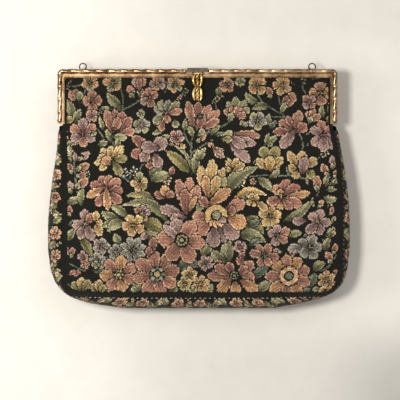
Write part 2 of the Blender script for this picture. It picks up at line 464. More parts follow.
# foot x, foot z, tip x, tip z, width, tone
PETALS = [
    # tulip by the top edge and the bud under the corner
    (-46, 168, -46, 177, 5, "sage"), (-47, 174, -50.5, 184, 5.5, "mauve"),
    (-46, 174, -42.5, 184, 5.5, "salmon"), (-46.4, 173, -46.5, 184, 5, "rose"),
    (-95, 164, -102.5, 173, 6, "salmon"), (-95, 164, -97.5, 175, 5.6, "rose"),
    (-95, 165, -93.5, 173, 5, "sage"),
    # salmon iris
    (-38, 168, -38.5, 176.5, 6.6, "salmon"), (-38, 168, -31.5, 172, 6.4, "salmon"),
    (-38, 168, -44.5, 171.5, 6, "rose"), (-38, 168, -45.5, 163.5, 6.2, "mauve"),
    (-38, 168, -36, 160.5, 6.8, "rose"),
    # red rose on its calyx
    (-69, 132, -72, 143, 5.4, "sage"), (-66, 140, -66, 159, 7.4, "rose"),
    (-68, 139, -73, 158.5, 6.6, "salmon"), (-64, 141, -59, 157, 8.4, "rose"),
    (-62, 141, -52.5, 152, 8.4, "rose"), (-62, 140, -50, 141.5, 7, "salmon"),
    (-67, 140, -62.5, 152.5, 7, "salmon"), (-69, 137, -56, 136, 6, "sage"),
    # grey and salmon cluster
    (-25, 155, -34, 161, 7, "lilac"), (-25, 155, -29.5, 166, 7, "sage"), (-25, 155, -22.5, 166, 7, "lilac"),
    (-24, 155, -14.5, 165, 6.6, "sage"), (-24, 155, -11.5, 158, 5.6, "salmon"),
    (-25, 154, -35, 148, 7.6, "sage"), (-18, 151, -17, 144, 6, "sage"),
    (-25, 155, -24.5, 147.5, 7, "salmon"), (-27, 149, -29, 141, 5.4, "rose"),
    # salmon tulip under the clasp
    (-1, 142, 1, 165, 8, "rose"), (1, 146, 11, 162, 8, "salmon"), (3, 145, 18, 158, 7, "salmon"),
    (3, 143, 17.5, 150.5, 7, "salmon"), (-3, 141, -7.5, 165.5, 6.8, "salmon"), (-1, 142, 6, 154, 7, "rose"),
    (-3, 136, -6.5, 145.5, 4.8, "sage"), (0, 137, 6, 143, 4.6, "sage"),
    (-84.5, 141, -81.5, 138, 4.4, "sage"),
    # golden chrysanthemum
    (-70, 119, -76.5, 127.5, 6.4, "gold"), (-70, 119, -68.5, 129.5, 6.4, "gold"),
    (-69, 119, -59, 129, 7, "gold"), (-70, 119, -79, 121.5, 5.4, "gold"),
    (-71, 118, -82, 115.5, 5.4, "gold"), (-71, 117, -77.5, 110, 5.4, "gold"),
    (-68, 119, -56, 119.5, 6.6, "moss"), (-67, 118, -60.5, 105.5, 7, "moss"),
    (-69, 114, -75, 120.5, 8, "peach"),
    # mauve rose
    (-36, 125, -51.5, 137, 8, "rose"), (-37, 126, -24.5, 135, 11, "mauve"),
    (-38, 126, -53, 122, 8.4, "rose"), (-37, 122, -38, 111, 6.4, "rose"),
    (-34, 124, -30.5, 112, 8.4, "mauve"), (-37, 126, -45, 117.5, 8.4, "mauve"),
    (-30, 128, -45, 129, 9.6, "mauve"),
    # orange flower with two arms
    (-73, 95, -77, 105.5, 8.4, "rose"), (-73, 95, -69, 106, 8, "salmon"),
    (-72, 95, -61.5, 103, 8.6, "salmon"), (-74, 95, -85.5, 99.5, 7.6, "rose"),
    (-73, 94, -80.5, 81.5, 6.8, "rose"), (-71, 94, -59.5, 94, 8.4, "rose"), (-71, 93, -61, 84, 7.6, "rose"),
    (-74, 97, -88.5, 88.5, 6.2, "peach"), (-73, 98, -71.5, 78, 6.4, "peach"),
    (-46, 102, -46, 109, 6, "sage"),
    # pink bud at the upper right
    (68.5, 158, 77.5, 172, 9, "salmon"), (67.5, 158, 72.5, 170, 5.4, "rose"),
    (66, 155, 71, 164, 4.6, "sage"),
    # green-topped flower
    (30, 153, 24.5, 165.5, 6.6, "sage"), (30, 153, 31, 168.5, 7.4, "sage"),
    (31, 153, 38.5, 166, 7.2, "sage"), (31, 153, 42, 159.5, 6.4, "sage"),
    (30, 153, 21.5, 158.5, 6.2, "salmon"), (30, 153, 27, 161, 6.4, "salmon"),
    (31, 153, 33.5, 161, 6.4, "salmon"), (31, 153, 39, 154.5, 6.2, "salmon"), (25, 148, 28, 156, 5, "sage"),
    # small bell
    (90, 149, 88.5, 157.5, 5, "salmon"), (90, 149, 94, 159, 6, "salmon"), (90, 149, 99, 154.5, 6, "salmon"),
    (89, 147, 91.5, 153, 4.2, "sage"),
    # spiked tulip
    (78, 140, 81.5, 158, 8, "salmon"), (79, 140, 87.5, 147, 8.4, "rose"),
    (78, 141, 65.5, 149.5, 8, "salmon"), (77, 140, 61, 141.5, 7, "rose"), (76, 144, 72, 153.5, 5.6, "rose"),
    (79, 143, 66.5, 128, 9, "mauve"),
    # star on the right
    (101, 138.5, 98.5, 150, 7.4, "salmon"), (101, 138.5, 90.5, 143.5, 7.4, "mauve"),
    (101, 138.5, 109.5, 145, 7.4, "rose"), (101, 138.5, 110.5, 135, 7, "mauve"),
    (101, 138.5, 108, 127, 6.6, "mauve"), (101, 138.5, 91.5, 130, 8, "mauve"),
    (101, 138.5, 101, 124.5, 8.2, "mauve"),
    # long-petalled lily
    (26, 139, 50, 137.5, 8, "salmon"), (26, 136, 47, 131, 8, "mauve"), (24, 135, 42, 116.5, 8.6, "mauve"),
    (24, 138, 39, 128.5, 9, "mauve"), (20, 132, 27, 142, 6, "sage"), (19, 136, 28, 134, 5.4, "moss"),
    # yellow tulip with two balls
    (56, 117, 52, 129, 8.6, "moss"), (60, 117, 63.5, 129, 8.6, "moss"), (58, 110, 47.5, 119, 7.2, "gold"),
    (58, 110, 68, 120.5, 7.2, "gold"), (58, 109, 58, 121.5, 8.6, "gold"),
    # yellow and mauve tulip
    (80, 112, 72.5, 125, 6.8, "gold"), (80, 112, 72.5, 111.5, 7, "gold"), (80, 110, 77.5, 103.5, 7, "gold"),
    (83, 113, 84, 125.5, 8.4, "gold"), (86, 112, 95.5, 119.5, 7.4, "gold"),
    (86, 110, 93.5, 104.5, 7.4, "moss"), (83, 106, 86.5, 121, 8.4, "mauve"),
    (12, 129, 21.5, 120.5, 7.6, "peach"), (14, 127, 21, 121.5, 4.6, "mauve"),
    (-14, 132, -10, 127, 4, "gold"), (27, 109, 25, 119.5, 5.6, "gold"), (28, 110, 32.5, 120, 5.6, "gold"),
    (28, 110, 38, 115, 5.6, "gold"), (27, 109, 22, 112, 4.4, "gold"),
    # great yellow tulip
    (8, 88, 2, 113.5, 8.4, "gold"), (11, 88, 21.5, 112, 8.6, "gold"), (13, 90, 23, 104, 7.6, "moss"),
    (10, 88, 12, 119, 9.4, "gold"), (8, 87, 6.5, 106, 7.6, "peach"), (12, 88, 16.5, 106, 7.6, "gold"),
    # great salmon tulip
    (-9, 74, -30, 80.5, 8.4, "mauve"), (-8, 73, -21, 71, 8, "mauve"), (-25, 88, -34, 92.5, 7.6, "rose"),
    (-25, 88, -26.5, 98, 7.6, "peach"), (-25, 88, -19.5, 93, 6.4, "rose"),
    (-8, 76, -6, 104.5, 9.2, "salmon"), (-6, 77, 0.5, 98, 8.4, "salmon"),
    (-9, 76, -15.5, 103, 8.8, "salmon"), (-8, 74, -10.5, 95, 9.6, "rose"), (-6, 77, -1, 90, 5, "peach"),
    # great round flower in the middle
    (17, 66, 23, 53, 10, "mauve"), (14, 66, 12.5, 48.5, 11, "mauve"), (21, 68, 32.5, 56, 12, "mauve"),
    (23, 74, 39, 66, 12, "peach"), (22, 79, 38.5, 85, 10, "salmon"), (11, 70, -1, 59.5, 11.5, "salmon"),
    (8, 74, -3.5, 73, 9, "salmon"), (9, 82, 26, 95.5, 9.4, "peach"), (9, 79, 3, 89, 7, "rose"),
    (24, 78, 31, 78, 8, "rose"),
    # salmon flower on the right
    (68, 88.5, 61.5, 98, 8.4, "salmon"), (68, 88.5, 72, 103, 9.4, "rose"),
    (68, 88.5, 81.5, 98, 9.4, "rose"), (69, 88, 90, 92, 6.4, "peach"), (68, 88, 83.5, 82, 8.4, "salmon"),
    (68, 88, 66, 79, 8.2, "peach"), (68, 88, 56, 84, 8.2, "salmon"), (68, 88, 75.5, 79, 6.4, "rose"),
    (66, 88, 66, 95.5, 5, "peach"), (47, 86, 56, 78, 6.2, "gold"),
    # mauve flower on the right
    (96, 69, 99.5, 79, 7.4, "mauve"), (96, 69, 107, 68.5, 7.4, "mauve"), (96, 69, 98.5, 58.5, 8.2, "mauve"),
    (96, 69, 87.5, 60, 8.2, "mauve"), (96, 69, 89.5, 76, 7.4, "mauve"), (87.5, 70, 76, 69.5, 6.6, "mauve"),
    (84, 49.5, 72.5, 47, 8, "lilac"),
    # mauve and pink pair
    (64, 58.5, 56.5, 61, 7.2, "mauve"), (64, 58.5, 74, 63, 7.2, "salmon"),
    (64, 58.5, 61.5, 50, 7.2, "mauve"), (64, 58.5, 72, 52.5, 6.4, "salmon"),
    (64, 58.5, 63.5, 67, 6.4, "mauve"),
    # salmon star
    (53, 42.5, 58.5, 51.5, 6.6, "salmon"), (53, 42.5, 48, 51, 5.8, "salmon"),
    (53, 42.5, 41, 44.5, 6.6, "salmon"), (53, 42.5, 65, 40.5, 6.8, "rose"),
    (53, 42.5, 49, 33.5, 6.8, "salmon"), (53, 42.5, 58, 34, 6, "salmon"), (37, 40, 31.5, 36, 7, "rose"),
    (37, 40, 34, 44.5, 5.6, "rose"), (36, 27, 43.5, 38, 8.4, "salmon"),
    # peach lily
    (29, 26, 8, 26.5, 9, "salmon"), (28, 27, 13.5, 34, 8.4, "salmon"), (28, 27, 24, 37, 7, "rose"),
    (34, 27, 46, 24.5, 7.4, "salmon"), (33, 27, 39, 34, 7.4, "rose"), (27, 24, 16.5, 12.5, 9.4, "peach"),
    (34, 23, 48, 14.5, 9, "peach"), (30, 22, 31, 11.5, 9, "peach"),
    # mauve flower on the left
    (-89, 67, -90.5, 79, 7.6, "mauve"), (-89, 67, -100, 66.5, 8.2, "mauve"),
    (-89, 67, -94.5, 55.5, 8.2, "mauve"), (-89, 67, -83.5, 54.5, 8.2, "mauve"),
    (-89, 67, -83.5, 75.5, 7, "rose"), (-81.5, 68, -80.5, 77.5, 5.6, "gold"),
    (-81.5, 69, -77, 58, 6.6, "gold"), (-81, 68, -75.5, 68, 5.4, "gold"),
    # great rose
    (-12.5, 54.5, -17.5, 71.5, 11, "mauve"), (-12.5, 54.5, -2, 69.5, 12, "salmon"),
    (-12.5, 54.5, -32.5, 56.5, 12.4, "salmon"), (-12.5, 54.5, 6, 52, 12, "salmon"),
    (-12.5, 54.5, -23.5, 38.5, 12.4, "salmon"), (-12.5, 54.5, -4.5, 36.5, 12.6, "salmon"),
    (-12.5, 54.5, -27, 66, 7, "mauve"), (-36, 43, -35, 57, 6.6, "rose"), (-39, 57, -45.5, 58, 5.6, "mauve"),
    (-39, 41, -38.5, 49, 5.4, "rose"),
    # leafy tan flowers
    (-94, 14, -99.5, 21, 6.4, "moss"), (-93, 14, -92, 25, 7.4, "gold"), (-92, 14, -85.5, 22.5, 6.6, "moss"),
    (-80, 12, -83.5, 20, 6, "moss"), (-79, 12, -78, 23, 6.6, "gold"), (-78, 12, -73.5, 19, 5.6, "moss"),
    (-103, 27, -97, 30, 4, "salmon"), (103, 14, 108, 16.5, 5, "peach"), (101, 13, 97, 16, 4.4, "peach"),
]

# x, z, radius, tone: the beaded hearts laid over the petals
HEARTS = [
    (2, 153.5, 2.8, "grey"), (101, 138.5, 1.6, "rose"), (96, 69, 1.8, "moss"), (-89, 67, 2.0, "moss"),
    (-12.5, 54.5, 6.0, "sage"), (53, 42.5, 2.8, "grey"), (29.5, 26.5, 4.2, "sage"), (64, 58.5, 2.6, "grey"),
    (-38, 168.5, 1.6, "rose"), (67, 90.5, 2.6, "gold"), (-72.5, 96.5, 2.2, "rose"), (-25, 156, 2.0, "rose"),
    (-66, 143, 2.0, "rose"),
]


def panel_weave(across, up, seed, flip):
    """The big bouquet; the back of the bag has the same picture the other way round."""
    way = -1 if flip else 1
    weave = Weave(across, up, seed, 0.20)

    def turned(angle):
        return 180 - angle if flip else angle

    for x0, z0, x1, z1, x2, z2 in STEMS:
        weave.stem(way * x0, z0, way * x1, z1, way * x2, z2)
    for x, z, size, angle, *tones in SPRIGS:
        weave.sprig(way * x, z, size, turned(angle), *tones)
    for x0, z0, x1, z1, width, tone, bend in LEAVES:
        weave.frond(way * x0, z0, way * x1, z1, width, tone, way * bend)
    for x, z, size, angle, tone in BUDS:
        weave.bud(way * x, z, size, turned(angle), tone)
    for x, z, radius, petals, tone, heart, turn, *second in BLOSSOMS:
        weave.blossom(way * x, z, radius, petals, tone, heart, turned(turn), *second)
    for x, z, radius, petals, tone, second, turn, *well in ROSETTES:
        weave.rosette(way * x, z, radius, petals, tone, second, turned(turn), *well)
    for x0, z0, x1, z1, width, tone in PETALS:
        weave.petal(way * x0, z0, way * x1, z1, width, tone)
    for x, z, radius, tone in HEARTS:
        weave.heart(way * x, z, radius, tone)
    middle_flower(weave, way, turned)
    return weave


def middle_flower(weave, way, turned):
    """Heart of the great round flower: an open gold ring, four small petals and a dotted sage eye."""
    x, z = 15.5, 73.5
    weave.blot(way * x, z, 9.4)
    for k in range(22):
        c, s = heading(5 + k * 11.0)
        weave.disc(way * (x + 6.9 * c), z + 6.9 * s, 2.1, "gold")
    for angle, tone in ((238, "peach"), (268, "peach"), (300, "peach"), (334, "mauve")):
        weave.blade(way * x, 73.0, 8.6, 5.0, turned(angle), tone, peak=0.7, power=0.5)
    weave.blot(way * x, 74.2, 4.3)
    weave.disc(way * x, 74.4, 3.1, "sage")
    for k in range(5):
        c, s = heading(72 * k)
        weave.disc(way * (x + 1.9 * c), 74.4 + 1.9 * s, 0.55, "grey", 0)


def fit_weave(weave, x, z, left, right):
    """Lay the picture on a panel that narrows, and weave its plain dark band along the edges."""
    row = np.arange(x.shape[0])[:, None]
    col = np.clip(((x - weave.across[0]) / STITCH).round().astype(int), 0, len(weave.across) - 1)
    weave.colour = weave.colour[row, col]
    weave.pile = weave.pile[row, col]
    near = np.minimum(np.minimum(x - left[:, None], right[:, None] - x), z - PANEL_BOTTOM)
    mask = near + weave.rng.normal(0, 0.2, x.shape) < BAND
    weave.colour[mask] = INK
    weave.pile[mask] = 0.0
    # the picture fades a little up to the frame and down to the foot
    dull = 0.15 * smooth_step((z - 140) / 36) + 0.10 * smooth_step((72 - z) / 30)
    weave.colour = INK + (weave.colour - INK) * (1 - dull[..., None])


def strip_weave(along, across, seed):
    """Half of the side strip's border, from the seam outwards: flowers in pairs, buds, leaves, berries."""
    weave = Weave(along, across, seed, 0.22)
    # length of one repeat
    pitch = 47.0
    count = int((along[-1] - along[0]) / pitch) + 2
    for k in range(count):
        s = along[0] + k * pitch - 12
        for place, lean in ((23, 60), (33, 120), (43, 60), (29, -60), (38, -120), (8, 70), (12, -50)):
            weave.leaf(s + place, 6.4 + (2.4 if lean < 0 else -2.4), 9.4, 5.2, lean, "sage", 0.08)
        weave.sprig(s + 46, 4, 5, 80, "grey", "lilac")
        weave.blossom(s, 6.2, 5.2, 5, "salmon", "moss", 20 * k, "peach")
        weave.blossom(s + 18, 6.6, 5.0, 5, "salmon", "gold", 30 + 25 * k, "rose")
        weave.disc(s + 33, 5.6, 1.7, "peach", 2)
        weave.disc(s + 33, 5.6, 0.7, "rose", 0)
        weave.bud(s + 9, 4.0, 4.4, 60, "rose")
        weave.blossom(s + 4, 15.4, 4.2, 5, "peach", "gold", 40 * k)
        weave.blossom(s + 27, 15.8, 4.4, 5, "mauve", "moss", 10 * k, "salmon")
        weave.leaf(s + 10, 15, 9, 4.6, 20, "sage", 0.1)
        weave.leaf(s + 42, 15, 9, 4.6, 160, "grey", 0.1)
    weave.colour[weave.z < 1.2] = INK
    return weave


# ---------------------------------------------------------------- mesh helpers


def mesh_object(name, verts, faces, smooth=True):
    """Mesh object from arrays, in millimetres."""
    mesh = bpy.data.meshes.new(name)
    mesh.from_pydata((np.asarray(verts) * MM).tolist(), [], [list(map(int, f)) for f in faces])
    mesh.update()
    mesh.polygons.foreach_set("use_smooth", [smooth] * len(mesh.polygons))
    obj = bpy.data.objects.new(name, mesh)
    bpy.context.scene.collection.objects.link(obj)
    return obj


def grid_object(name, points, colours=None, flip=False, closed=False):
    """Quad grid from points[row, column]; colours are one per quad; 'stitch' holds its row and column."""
    rows, cols = points.shape[:2]
    i, j = np.meshgrid(np.arange(rows - 1), np.arange(cols if closed else cols - 1), indexing="ij")
    k = (j + 1) % cols
    quads = np.stack([i * cols + j, i * cols + k, (i + 1) * cols + k, (i + 1) * cols + j], -1).reshape(-1, 4)
    if flip:
        quads = quads[:, ::-1]
    mesh = bpy.data.meshes.new(name)
    mesh.vertices.add(rows * cols)
    mesh.vertices.foreach_set("co", (points.reshape(-1, 3) * MM).astype(np.float32).ravel())
    mesh.loops.add(quads.size)
    mesh.loops.foreach_set("vertex_index", quads.astype(np.int32).ravel())
    mesh.polygons.add(len(quads))
    mesh.polygons.foreach_set("loop_start", np.arange(0, quads.size, 4, dtype=np.int32))
    mesh.update(calc_edges=True)
    mesh.polygons.foreach_set("use_smooth", [True] * len(quads))
    if colours is not None:
        flat = np.concatenate([colours.reshape(-1, 3), np.ones((len(quads), 1))], 1)
        paint = mesh.color_attributes.new("thread", "FLOAT_COLOR", "CORNER")
        paint.data.foreach_set("color", np.repeat(flat, 4, 0).astype(np.float32).ravel())
        stitch = mesh.attributes.new("stitch", "FLOAT_VECTOR", "POINT")
        r, c = np.meshgrid(np.arange(rows), np.arange(cols), indexing="ij")
        place = np.stack([c, r, np.zeros_like(r)], -1).reshape(-1, 3)
        stitch.data.foreach_set("vector", place.astype(np.float32).ravel())
    obj = bpy.data.objects.new(name, mesh)
    bpy.context.scene.collection.objects.link(obj)
    return obj


def tube_faces(rings, around, flip):
    """Quads of a closed tube whose rings of points follow each other."""
    faces = []
    for i in range(rings - 1):
        for j in range(around):
            k = (j + 1) % around
            a, b, c, d = i * around + j, i * around + k, (i + 1) * around + k, (i + 1) * around + j
            faces.append((a, d, c, b) if flip else (a, b, c, d))
    return faces


def joined(parts):
    """Vertices and faces of several meshes as one."""
    verts = []
    faces = []
    base = 0
    for v, f in parts:
        verts.append(np.asarray(v, float))
        faces.extend([[base + n for n in face] for face in f])
        base += len(v)
    return np.concatenate(verts), faces


# ---------------------------------------------------------------- materials


class Look:
    """A new material, with short ways to add and join its nodes."""

    def __init__(self, name):
        self.made = bpy.data.materials.new(name)
        self.made.use_nodes = True
        self.nodes = self.made.node_tree.nodes

    def feed(self, socket, value):
        """Set a socket to a number or colour, or join it to another node's output."""
        if isinstance(value, bpy.types.NodeSocket):
            self.made.node_tree.links.new(value, socket)
        else:
            socket.default_value = value

    def fill(self, node, inputs):
        """Feed a node's inputs by name, with _ for a space; returns its outputs."""
        for key, value in inputs.items():
            self.feed(node.inputs[key.replace("_", " ")], value)
        return node.outputs

    def surface(self, **inputs):
        """Feed the surface shader."""
        self.fill(self.nodes["Principled BSDF"], inputs)

    def add(self, kind, **inputs):
        """New node with its inputs fed; returns its outputs."""
        return self.fill(self.nodes.new(kind), inputs)

    def math(self, operation, *values):
        node = self.nodes.new("ShaderNodeMath")
        node.operation = operation
        for socket, value in zip(node.inputs, values):
            self.feed(socket, value)
        return node.outputs[0]

    def plus(self, a, b):
        return self.math("ADD", a, b)

    def times(self, a, b):
        return self.math("MULTIPLY", a, b)

    def line(self, value, slope, start):
        """The value times a slope, plus a start."""
        return self.plus(self.times(value, slope), start)

    def wave(self, value, pace):
        """Sine of the value times a pace."""
        return self.math("SINE", self.times(value, pace))

    def scaled(self, colour, factor):
        """Colour times a factor."""
        node = self.nodes.new("ShaderNodeVectorMath")
        node.operation = "SCALE"
        self.feed(node.inputs[0], colour)
        self.feed(node.inputs["Scale"], factor)
        return node.outputs["Vector"]

    def place(self):
        """The surface's own coordinates in metres."""
        return self.add("ShaderNodeTexCoord")["Object"]

    def attribute(self, name, output):
        node = self.nodes.new("ShaderNodeAttribute")
        node.attribute_name = name
        return node.outputs[output]

    def noise(self, place, scale, detail, rough):
        node = self.nodes.new("ShaderNodeTexNoise")
        inputs = {"Vector": place, "Scale": scale, "Detail": detail, "Roughness": rough}
        return self.fill(node, inputs)["Fac"]

    def bump(self, height, strength, distance):
        made = self.add("ShaderNodeBump", Height=height, Strength=strength, Distance=distance)
        self.surface(Normal=made["Normal"])

    def ramp(self, source, *stops):
        """Colour along a row of (place, colour) stops."""
        node = self.nodes.new("ShaderNodeValToRGB")
        ends = node.color_ramp.elements
        while len(ends) < len(stops):
            ends.new(0.5)
        for end, (place, colour) in zip(ends, stops):
            end.position = place
            end.color = (*colour, 1)
        self.feed(node.inputs["Fac"], source)
        return node.outputs["Color"]

    def eased(self, value, low, high, top):
        """A value's way from low to high as 0 to top, eased at both ends."""
        node = self.nodes.new("ShaderNodeMapRange")
        node.interpolation_type = "SMOOTHSTEP"
        return self.fill(node, {"Value": value, "From Min": low, "From Max": high, "To Max": top})["Result"]


def tapestry_material():
    """Woven wool: thread colour, slanted stitches, loose fibres and a dusty sheen."""
    look = Look("tapestry_weave")
    stitch = look.attribute("stitch", "Vector")
    column, row, _ = look.add("ShaderNodeSeparateXYZ", Vector=stitch)
    across = look.math("ABSOLUTE", look.wave(look.plus(column, look.times(row, 0.5)), math.pi))
    along = look.math("ABSOLUTE", look.wave(row, math.pi))
    rib = look.times(across, along)
    fibre = look.noise(stitch, scale=3.1, detail=3.0, rough=0.65)
    look.bump(look.plus(rib, look.times(fibre, 0.55)), strength=0.75, distance=0.00030)
    level = look.times(look.line(rib, 0.34, 0.78), look.line(fibre, 0.5, 0.78))
    colour = look.scaled(look.attribute("thread", "Color"), level)
    look.surface(Base_Color=colour, Roughness=0.92, Specular_IOR_Level=0.12)
    look.surface(Sheen_Weight=0.10, Sheen_Roughness=0.5)
    return look.made


def metal_material(name, dark, middle, light, rough, scale=90.0):
    """Aged gilt: tarnish in blotches, brighter rubbed patches, fine scratches and pits."""
    look = Look(name)
    place = look.place()
    blotch = look.noise(place, scale, detail=6.0, rough=0.7)
    grain = look.noise(place, scale * 14, detail=2.0, rough=0.5)
    mixed = look.plus(look.times(blotch, 0.8), look.times(grain, 0.2))
    look.bump(mixed, strength=0.5, distance=0.00006)
    colour = look.ramp(mixed, (0.36, dark), (0.50, middle), (0.66, light))
    look.surface(Base_Color=colour, Roughness=look.line(mixed, 0.35, rough - 0.12), Metallic=1.0)
    return look.made


def enamel_material():
    """Dark brown glossy plate with faint clouding."""
    look = Look("plate_enamel_dark")
    cloud = look.noise(look.place(), scale=260.0, detail=4.0, rough=0.6)
    colour = look.ramp(cloud, (0.35, (0.060, 0.042, 0.030)), (0.7, (0.15, 0.115, 0.085)))
    look.surface(Base_Color=colour, Roughness=look.line(cloud, 0.2, 0.14), Metallic=0.35)
    look.surface(Coat_Weight=0.6, Coat_Roughness=0.12)
    return look.made


def cloth_material(name, dark, light, pitch=0.0006, sheen=0.3, rough=0.6):
    """Fine plain weave with soft creases; pitch is one thread in metres."""
    look = Look(name)
    place = look.place()
    x, _, z = look.add("ShaderNodeSeparateXYZ", Vector=place)
    turn = 2 * math.pi / pitch
    weave = look.times(look.wave(x, turn), look.wave(z, turn))
    crease = look.noise(place, scale=26.0, detail=4.0, rough=0.55)
    look.bump(look.plus(look.times(weave, 0.08), crease), strength=0.5, distance=0.0008)
    colour = look.ramp(crease, (0.3, dark), (0.7, light))
    look.surface(Base_Color=colour, Roughness=rough, Sheen_Weight=sheen)
    return look.made


def wall_material():
    """Warm white paper, greyer above, below and in the lower right corner, seen only from its front."""
    look = Look("stage_wall")
    place = look.place()
    x, _, z = look.add("ShaderNodeSeparateXYZ", Vector=place)
    ends = look.plus(look.eased(z, 0.005, -0.050, 0.165), look.eased(z, 0.190, 0.235, 0.115))
    ends = look.times(ends, look.eased(x, -0.110, 0.010, 1.0))
    corner = look.times(look.eased(z, 0.010, -0.085, 0.24), look.eased(x, 0.080, 0.180, 1.0))
    tone = look.math("SUBTRACT", look.math("SUBTRACT", 1.0, ends), corner)
    mottle = look.noise(place, scale=60.0, detail=5.0, rough=0.6)
    paper = look.ramp(mottle, (0.3, (0.727, 0.707, 0.668)), (0.7, (0.766, 0.746, 0.707)))
    look.surface(Base_Color=look.scaled(paper, tone), Roughness=0.9, Specular_IOR_Level=0.2)
    mix = look.nodes.new("ShaderNodeMixShader")
    look.feed(mix.inputs["Fac"], look.add("ShaderNodeNewGeometry")["Backfacing"])
    look.feed(mix.inputs[1], look.nodes["Principled BSDF"].outputs["BSDF"])
    look.feed(mix.inputs[2], look.add("ShaderNodeBsdfTransparent")["BSDF"])
    look.feed(look.nodes["Material Output"].inputs["Surface"], mix.outputs["Shader"])
    return look.made


TAPESTRY = tapestry_material()
FRAME_METAL = metal_material(
    "frame_gilt", (0.075, 0.042, 0.022), (0.20, 0.125, 0.068), (0.38, 0.26, 0.15), 0.34
)
ROPE_METAL = metal_material("rope_gilt", (0.09, 0.05, 0.026), (0.29, 0.185, 0.10), (0.74, 0.56, 0.36), 0.22)
DROP_METAL = metal_material(
    "drop_gilt", (0.26, 0.15, 0.05), (0.66, 0.45, 0.17), (0.98, 0.78, 0.42), 0.22, 160.0
)
DROP_SHADE = metal_material(
    "drop_gilt_shaded", (0.12, 0.065, 0.02), (0.46, 0.29, 0.10), (0.90, 0.68, 0.34), 0.26, 160.0
)
CHAIN_METAL = metal_material(
    "chain_antique", (0.035, 0.022, 0.013), (0.115, 0.075, 0.040), (0.27, 0.19, 0.10), 0.34, 220.0
)
RING_METAL = metal_material(
    "ring_antique", (0.022, 0.014, 0.009), (0.070, 0.045, 0.026), (0.19, 0.13, 0.07), 0.36, 220.0
)
STEEL = metal_material(
    "spring_steel_grey", (0.30, 0.29, 0.27), (0.52, 0.51, 0.49), (0.70, 0.69, 0.66), 0.34, 200.0
)
ENAMEL = enamel_material()
LINING = cloth_material("lining_brown", (0.115, 0.070, 0.042), (0.19, 0.125, 0.08))
POCKET = cloth_material("pocket_brown", (0.10, 0.062, 0.038), (0.17, 0.112, 0.07))
CORD = cloth_material("packing_paper", (0.42, 0.34, 0.24), (0.58, 0.49, 0.36), 0.0009, 0.0, 0.85)
BOARD = cloth_material("base_board_fibre", (0.22, 0.18, 0.13), (0.32, 0.27, 0.20), 0.0012, 0.0, 0.9)


def dress(obj, made):
    obj.data.materials.clear()
    obj.data.materials.append(made)
    return obj


# ---------------------------------------------------------------- the sack


def line_at(line, z):
    """Smooth value of a height line."""
    heights, values = np.array(line, float).T
    fine = np.linspace(heights[0], heights[-1], 800)
    return np.interp(z, fine, smoothed(np.interp(fine, heights, values), 41))


def corner_inset(z, radius):
    """How far a rounded lower corner pulls the panel's side in."""
    low = np.clip((PANEL_BOTTOM + radius - z) / radius, 0, 1)
    return radius * (1 - np.sqrt(np.maximum(1 - low * low, 0)))


def panel_sides(z):
    """Left and right edge of the panel at a height, with its rounded lower corners."""
    left = line_at(SEAM_LEFT, z) + corner_inset(z, CORNER_LEFT)
    right = line_at(SEAM_RIGHT, z) - corner_inset(z, CORNER_RIGHT)
    return left, right


def panel_depth(x, z):
    """How far the front panel stands in front of the middle plane."""
    left, right = panel_sides(z)
    middle = (left + right) / 2
    reach = np.clip(np.abs(x - middle) / ((right - left) / 2), 0, 1)
    # the sides fall back less under the frame, where the panel is held flat
    fall = 0.40 - 0.30 * smooth_step((z - 138) / 16)
    # shallow dents and swells, none near the frame or the seams
    soft = 0.35 * np.sin(x * 0.055 + 0.6) * np.sin(z * 0.07 + 1.0) + 0.22 * np.sin(x * 0.13 + z * 0.05)
    soft = soft * smooth_step((150 - z) / 40) * (1 - reach**4)
    return line_at(DEPTH_LINE, z) * (1 - fall * reach**4) + soft


def panel_piece(name, seed, back):
    """One tapestry panel as a fine grid with a quad for every stitch."""
    rows = int((PANEL_TOP - PANEL_BOTTOM) / STITCH)
    cols = int((PANEL_RIGHT - PANEL_LEFT) / STITCH)
    z = np.linspace(PANEL_BOTTOM, PANEL_TOP, rows + 1)
    left, right = panel_sides(z)
    share = np.linspace(0, 1, cols + 1)
    x = left[:, None] + (right - left)[:, None] * share[None, :]
    grid_z = np.repeat(z[:, None], cols + 1, 1)
    depth = panel_depth(x, grid_z)
    across = (PANEL_LEFT + (PANEL_RIGHT - PANEL_LEFT) * share)[:-1] + STITCH / 2
    weave = panel_weave(across, z[:-1] + STITCH / 2, seed, back)
    fit_weave(weave, (x[:-1, :-1] + x[1:, 1:]) / 2, grid_z[:-1, :-1], left[:-1], right[:-1])
    pile = np.zeros((rows + 1, cols + 1))
    for low in (slice(None, -1), slice(1, None)):
        for near in (slice(None, -1), slice(1, None)):
            pile[low, near] += weave.pile / 4
    side = 1 if back else -1
    points = np.stack([x, side * (depth + pile), grid_z], -1)
    obj = grid_object(name, points, weave.finish(), flip=back)
    return dress(obj, TAPESTRY)


def round_the_sack(left, right, z, across):
    """A line down the left side, along the bottom and up the right side, with its run length."""
    bottom = np.linspace(left[-1], right[-1], across)[1:-1]
    xs = np.concatenate([left, bottom, right[::-1]])
    zs = np.concatenate([z, np.full(len(bottom), z[-1]), z[::-1]])
    return xs, zs, run_length(xs, zs)


def outline():
    """Seam line round the panels from the left leg, down, across and up, at one point for each stitch."""
    fine = np.linspace(STRIP_TOP, PANEL_BOTTOM, 3000)
    xs, zs, run = round_the_sack(*panel_sides(fine), fine, 400)
    even = np.arange(0, run[-1], STITCH)
    return np.interp(even, run, xs), np.interp(even, run, zs)


def silhouette(count):
    """Outer silhouette from the left leg, round the bottom, to the right leg, as evenly spaced points."""
    z = np.linspace(STRIP_TOP, 0, 400)
    xs, zs, run = round_the_sack(line_at(EDGE_LEFT, z), line_at(EDGE_RIGHT, z), z, 120)
    even = np.linspace(0, run[-1], count)
    return np.interp(even, run, xs), np.interp(even, run, zs)


